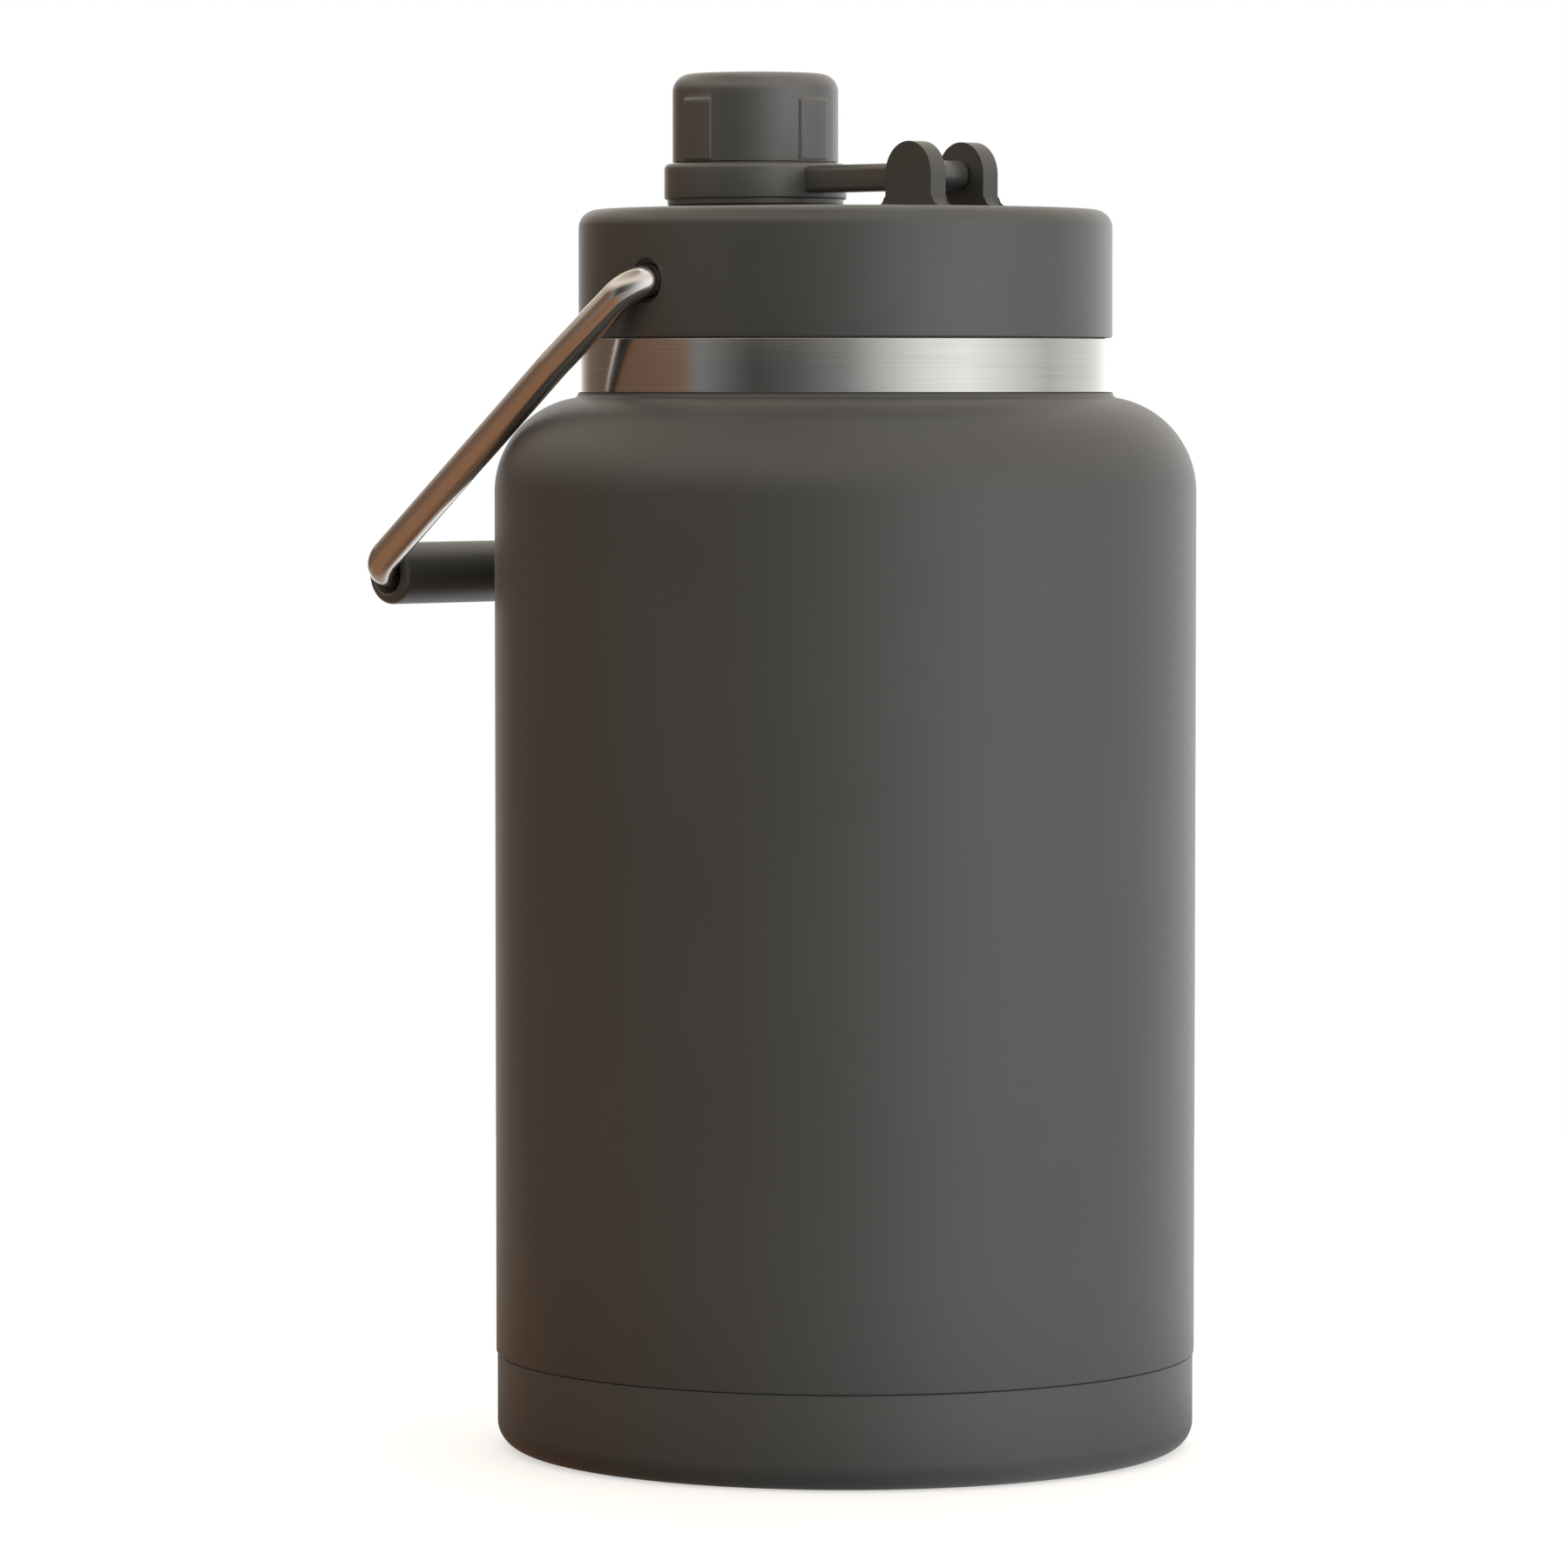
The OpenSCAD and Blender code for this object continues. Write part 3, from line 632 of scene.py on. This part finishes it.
def cap():
    """The cap: raised grip pads on its side, a neck in the strap's ring, a bead below."""
    pitch = 2 * math.pi / PAD_COUNT
    edge_angle = PAD_EDGE / CAP_R
    pad_z = CAP_SKIRT_Z + PAD_RISE

    def raised(angle, r, z):
        """Radius after the pads are raised from the cap's side."""
        if r < CAP_R - WELD or not pad_z < z < PAD_TOP + PAD_EDGE:
            return r
        off = abs((angle - PAD_TURN + pitch / 2) % pitch - pitch / 2)
        inside = 1 - ease(off, PAD_HALF_ANGLE - edge_angle, PAD_HALF_ANGLE + edge_angle)
        below = 1 - ease(z, PAD_TOP - PAD_EDGE, PAD_TOP + PAD_EDGE)
        return r + PAD_HEIGHT * inside * below

    angles = []
    for k in range(PAD_COUNT):
        middle = PAD_TURN + k * pitch
        around = [PAD_HALF_ANGLE + edge_angle * t for t in EDGE_STEPS]
        flat = [PAD_HALF_ANGLE * t / 10 for t in range(-9, 10)]
        plain = [PAD_HALF_ANGLE + (pitch / 2 - PAD_HALF_ANGLE) * t / 16 for t in range(1, 17)]
        offsets = sorted(set([-a for a in around + plain[:-1]] + flat + around + plain))
        angles += [middle + a for a in offsets]
    first, last = pad_z + PAD_FOOT, PAD_TOP - PAD_HEAD
    levels = [first + (last - first) * k / 10 for k in range(11)]
    levels += [PAD_TOP + PAD_EDGE * t for t in EDGE_STEPS]
    low, high = CAP_LOW.z, CAP_LOW.z + CAP_BEAD_H
    outline = [(CAP_INNER_R, low), (CAP_BEAD_R - CAP_BEAD_EDGE, low)]
    outline += [(CAP_BEAD_R, low + CAP_BEAD_EDGE), (CAP_BEAD_R, high - CAP_BEAD_EDGE)]
    outline += [(CAP_BEAD_R - CAP_BEAD_EDGE, high), (CAP_NECK_R, high)]
    outline += [(CAP_NECK_R, CAP_SKIRT_Z), (CAP_R, CAP_SKIRT_Z), (CAP_R, pad_z)]
    outline += [(CAP_R, z) for z in levels]
    outline += arc(CAP_R - CAP_ROUND, CAP_TOP - CAP_ROUND, CAP_ROUND, 0, 90, 14)
    outline += [(CAP_R * k / 4, CAP_TOP) for k in (3, 2, 1)] + [(0, CAP_TOP)]
    outline += [(0, CAP_TOP - CAP_ROOF), (CAP_INNER_R, CAP_TOP - CAP_ROOF)]
    return lathe("spout_cap", outline, (CAP_X, 0), angles=angles, radius_at=raised)


# ---------------------------------------------------------------- bail

def hung(y, z):
    """A point of the bail's own plane, hanging straight down, moved to where it rests."""
    return Vector((z * math.sin(REST_ANGLE), y, BAIL_Z + z * math.cos(REST_ANGLE)))


def bail():
    """The wire: two inward ends, a soft elbow, a slight flare, and a bend into the grip."""
    elbow_y = BAIL_HALF + BAIL_FLARE_Z * math.tan(BAIL_FLARE)
    half = rounded([(BAIL_END, 0, 0), (elbow_y, 0, BAIL_ELBOW),
                    (BAIL_HALF, BAIL_FLARE_Z, BAIL_FLARE_ROUND),
                    (BAIL_HALF, -BAIL_REACH, BAIL_CORNER), (0, -BAIL_REACH, 0)], 14, False)
    whole = half[:-1] + [(-y, z) for y, z in reversed(half[:-1])]
    return sweep("bail_wire", [hung(y, z) for y, z in whole], WIRE_R)


def grip():
    """The moulded sleeve on the wire, with rounded ends and mouths that widen for the bends."""
    bore = WIRE_R + GRIP_GAP
    straight = BAIL_HALF - BAIL_CORNER
    outline = rounded([(bore, -straight, 0), (GRIP_MOUTH_R, -GRIP_HALF, GRIP_MOUTH_ROUND),
                       (GRIP_R, -GRIP_HALF, GRIP_ROUND), (GRIP_R, GRIP_HALF, GRIP_ROUND),
                       (GRIP_MOUTH_R, GRIP_HALF, GRIP_MOUTH_ROUND), (bore, straight, 0)], 8)
    turn = Matrix.Translation(hung(0, -BAIL_REACH)) @ Matrix.Rotation(math.radians(-90), 4, "X")
    return lathe("bail_grip", outline, steps=SMALL_ROUND, turn=turn)


place(vessel_shell(), "powder_coat", "vessel", "outer_shell")
place(vessel_band(), "brushed_steel", "vessel", "neck_band")
place(vessel_cup(), "powder_coat", "vessel", "base_cup")
place(lid(), "moulded_plastic", "lid", "lid_shell")
# The strap and cap wear the lighter copy of the lid's plastic, which is painted light.
place(strap(), "cap_plastic", "strap", "strap")
place(cap(), "cap_plastic", "cap", "cap_shell")
place(bail(), "polished_steel", "handle", "bail")
place(grip(), "grip_plastic", "handle", "grip")

for entry in frame["record"]["subparts"]:
    dress(frame["nodes"][entry["node"]], entry["material_slot"])


# ---------------------------------------------------------------- studio

VIEW_ANGLE = math.radians(47)      # the camera's direction round the object, from the -Y side
CAMERA_REACH = 1.432               # from the object's axis to the camera
CAMERA_Z = 0.205
LENS = 171.9                       # mm
SENSOR = 36                        # mm
FAR = 20                           # metres, beyond everything that the camera sees
YAW = math.radians(0.469)          # the axis stands right of the picture's centre
PITCH = math.radians(3.123)
TOWARDS_CAMERA = Vector((math.sin(VIEW_ANGLE), -math.cos(VIEW_ANGLE), 0))
FLOOR_R = 0.6
FLOOR_GREY = 0.85
FLOOR_GLOW = 0.55                  # lifts the floor to the paleness of the background
OVERHEAD = (0.97, 0.87, 0.74)      # the light from above
# How high a direction points, from 0 for level to 1 for straight up, and the overhead share
OVERHEAD_SHARE = [(0.15, 0), (0.55, 1), (0.75, 0.75), (1, 0.3)]
# The floor's glow is dimmed close to the vessel: a painted shadow of the vessel on the floor.
FLOOR_NEAR = 0.55                  # how bright the floor is close to the vessel
FLOOR_NEAR_R = 2.5 * BODY_R        # the floor is at its full brightness from here on
# Bearings in degrees, to the right of the way to the camera, and the light from there
STUDIO_LIGHT = [(-180, 1.8), (-163, 1.3), (-155, (0.58, 0.50, 0.44)), (-146, (0.22, 0.16, 0.12)),
                (-128, (0.15, 0.105, 0.075)), (-96, (0.20, 0.115, 0.075)),
                (-74, (0.22, 0.14, 0.10)), (-66, 0.24), (-52, 0.14), (-40, 0.06), (-20, 0.11),
                (0, 0.26), (34, 1.0), (52, 1.2), (97, 0.6), (130, 0.92), (155, 1.5), (180, 1.15)]
# The same bearings, and the glow of the floor there
FLOOR_LIGHT = [(-180, 1.0), (-160, 0.9), (-145, (0.50, 0.40, 0.32)), (-120, (0.29, 0.15, 0.083)),
               (-55, (0.29, 0.15, 0.083)), (-30, (0.30, 0.24, 0.19)), (0, 0.42), (34, 0.9),
               (97, 0.75), (145, 1.4), (165, 1.4), (180, 1.0)]


def camera():
    """The camera at the viewing angle, level with the upper half of the jug."""
    aim = Matrix.Rotation(YAW, 3, "Z") @ -TOWARDS_CAMERA
    aim = Vector((aim.x * math.cos(PITCH), aim.y * math.cos(PITCH), -math.sin(PITCH)))
    data = bpy.data.cameras.new("camera")
    data.lens = LENS
    data.sensor_width = SENSOR
    shot = bpy.data.objects.new("camera", data)
    bpy.context.scene.collection.objects.link(shot)
    shot.location = TOWARDS_CAMERA * CAMERA_REACH + Vector((0, 0, CAMERA_Z))
    shot.rotation_euler = aim.to_track_quat("-Z", "Y").to_euler()
    data.clip_end = FAR
    bpy.context.scene.camera = shot


def light_by_bearing(tree, direction, lights):
    """The light along a direction, from a list of (bearing from the camera's own, light)."""
    split = tree.nodes.new("ShaderNodeSeparateXYZ")
    tree.links.new(direction, split.inputs[0])
    bearing = tree.nodes.new("ShaderNodeMath")
    bearing.operation = "ARCTAN2"
    tree.links.new(split.outputs["Y"], bearing.inputs[0])
    tree.links.new(split.outputs["X"], bearing.inputs[1])
    turns = tree.nodes.new("ShaderNodeMath")
    turns.operation = "MULTIPLY_ADD"
    turns.inputs[1].default_value = 1 / (2 * math.pi)
    turns.inputs[2].default_value = 0.5 + (math.pi / 2 - VIEW_ANGLE) / (2 * math.pi)
    tree.links.new(bearing.outputs[0], turns.inputs[0])
    wrap = tree.nodes.new("ShaderNodeMath")
    wrap.operation = "FRACT"
    tree.links.new(turns.outputs[0], wrap.inputs[0])
    stops = [(degrees / 360 + 0.5, colour) for degrees, colour in lights]
    return colour_ramp(tree, wrap.outputs[0], stops)


def map_range(tree, value, low, high, to_low, to_high):
    """A value moved from one range to another, with soft ends."""
    node = tree.nodes.new("ShaderNodeMapRange")
    node.interpolation_type = "SMOOTHSTEP"
    tree.links.new(value, node.inputs["Value"])
    for name, number in (("From Min", low), ("From Max", high), ("To Min", to_low),
                         ("To Max", to_high)):
        node.inputs[name].default_value = number
    return node.outputs["Result"]


def blend(tree, factor, light, colour):
    """A light blended towards a fixed colour by a factor."""
    node = tree.nodes.new("ShaderNodeMix")
    node.data_type = "RGBA"
    share, first, second = (node.inputs[i] for i in (0, 6, 7))
    tree.links.new(factor, share)
    tree.links.new(light, first)
    second.default_value = (*colour, 1)
    return node.outputs[2]


def studio_world():
    """Soft studio light from all round: warm and dim on one side, bright on the other."""
    world = bpy.data.worlds.new("studio")
    bpy.context.scene.world = world
    world.use_nodes = True
    tree = world.node_tree
    around = tree.nodes["Background"]
    direction = tree.nodes.new("ShaderNodeTexCoord").outputs["Generated"]
    split = tree.nodes.new("ShaderNodeSeparateXYZ")
    tree.links.new(direction, split.inputs[0])
    share = colour_ramp(tree, split.outputs["Z"], OVERHEAD_SHARE)
    light = blend(tree, share, light_by_bearing(tree, direction, STUDIO_LIGHT), OVERHEAD)
    tree.links.new(light, around.inputs["Color"])
    around.inputs["Strength"].default_value = 1.0
    seen = tree.nodes.new("ShaderNodeBackground")
    seen.inputs["Color"].default_value = (1, 1, 1, 1)
    path = tree.nodes.new("ShaderNodeLightPath")
    mix = tree.nodes.new("ShaderNodeMixShader")
    tree.links.new(path.outputs["Is Camera Ray"], mix.inputs[0])
    tree.links.new(around.outputs[0], mix.inputs[1])
    tree.links.new(seen.outputs[0], mix.inputs[2])
    tree.links.new(mix.outputs[0], tree.nodes["World Output"].inputs["Surface"])


def floor():
    """A round floor: plain and pale to the camera, and a glow by bearing to the object."""
    around = [2 * math.pi * k / ROUND for k in range(ROUND)]
    mesh = bpy.data.meshes.new("floor")
    mesh.from_pydata([(FLOOR_R * math.cos(a), FLOOR_R * math.sin(a), 0) for a in around], [],
                     [tuple(range(ROUND))])
    piece = bpy.data.objects.new("floor", mesh)
    bpy.context.scene.collection.objects.link(piece)
    s = Shader("floor", (FLOOR_GREY,) * 3, 0.9, Emission_Color=(1, 1, 1, 1),
               Emission_Strength=FLOOR_GLOW)
    spot = s.add("ShaderNodeTexCoord").outputs["Object"]
    distance = s.add("ShaderNodeVectorMath", {"operation": "LENGTH"})
    s.tree.links.new(spot, distance.inputs[0])
    # Painted shadow: the floor's glow falls off towards the vessel.
    near = map_range(s.tree, distance.outputs["Value"], BODY_R, FLOOR_NEAR_R, FLOOR_NEAR, 1)
    light = light_by_bearing(s.tree, spot, FLOOR_LIGHT)
    glow = s.add("ShaderNodeEmission", Color=light, Strength=near)
    seen = s.add("ShaderNodeLightPath").outputs["Is Camera Ray"]
    mix = s.add("ShaderNodeMixShader")
    for value, socket in zip((seen, glow.outputs[0], s.out.outputs[0]), mix.inputs):
        s.tree.links.new(value, socket)
    end = next(n for n in s.tree.nodes if n.type == "OUTPUT_MATERIAL")
    s.tree.links.new(mix.outputs[0], end.inputs["Surface"])
    mesh.materials.append(s.material)


camera()
studio_world()
floor()
bpy.context.scene.view_settings.view_transform = "Standard"
